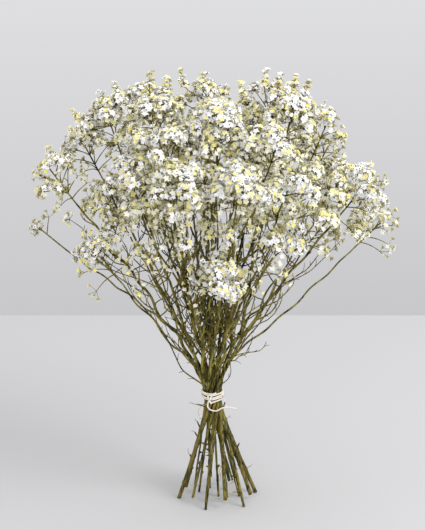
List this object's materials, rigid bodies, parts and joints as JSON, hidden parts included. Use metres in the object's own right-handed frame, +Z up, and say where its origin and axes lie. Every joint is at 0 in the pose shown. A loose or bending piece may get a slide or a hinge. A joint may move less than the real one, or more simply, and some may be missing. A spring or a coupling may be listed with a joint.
{
  "type": "tied bunch of dried statice stems",
  "caption": "Bunch of dried statice that stands on its splayed, cut stalks: a loose dome of small papery florets on slender olive stalks, held at the waist by cotton twine.",
  "frame": {"origin": "middle of the bounding box's base without the twine's loose end, on the surface that the bunch stands on", "axes": "+Z up, from the cut ends to the flower heads; -Y towards the knot's side, which is the front; +X to the right seen from the front"},
  "size_m": [0.4256, 0.2934, 0.4879],
  "materials": {
    "dried_stalk": "matte",
    "papery_floret": "matte",
    "cotton_twine": "matte"
  },
  "bodies": {
    "root": {"stem_01": "dried_stalk", "stem_02": "dried_stalk", "stem_03": "dried_stalk", "stem_04": "dried_stalk", "stem_05": "dried_stalk", "stem_06": "dried_stalk", "stem_07": "dried_stalk", "stem_08": "dried_stalk", "stem_09": "dried_stalk", "stem_10": "dried_stalk", "stem_11": "dried_stalk", "stem_12": "dried_stalk", "stem_13": "dried_stalk", "stem_14": "dried_stalk", "stem_15": "dried_stalk", "stem_16": "dried_stalk", "stem_17": "dried_stalk", "stem_18": "dried_stalk", "stem_19": "dried_stalk", "spray_01a": "papery_floret", "spray_02a": "papery_floret", "spray_03a": "papery_floret", "spray_04a": "papery_floret", "spray_05a": "papery_floret", "spray_06a": "papery_floret", "spray_07a": "papery_floret", "spray_08a": "papery_floret", "spray_09a": "papery_floret", "spray_10a": "papery_floret", "spray_11a": "papery_floret", "spray_12a": "papery_floret", "spray_13a": "papery_floret", "spray_14a": "papery_floret", "spray_15a": "papery_floret", "spray_16a": "papery_floret", "spray_17a": "papery_floret", "spray_18a": "papery_floret", "spray_19a": "papery_floret", "spray_01b": "papery_floret", "spray_02b": "papery_floret", "spray_03b": "papery_floret", "spray_04b": "papery_floret", "spray_05b": "papery_floret", "spray_06b": "papery_floret", "spray_07b": "papery_floret", "spray_08b": "papery_floret", "spray_09b": "papery_floret", "spray_10b": "papery_floret", "spray_11b": "papery_floret", "spray_12b": "papery_floret", "spray_13b": "papery_floret", "spray_14b": "papery_floret", "spray_15b": "papery_floret", "spray_16b": "papery_floret", "spray_17b": "papery_floret", "spray_18b": "papery_floret", "spray_19b": "papery_floret", "twine": "cotton_twine", "twine_end": "cotton_twine"}
  },
  "joints": []
}
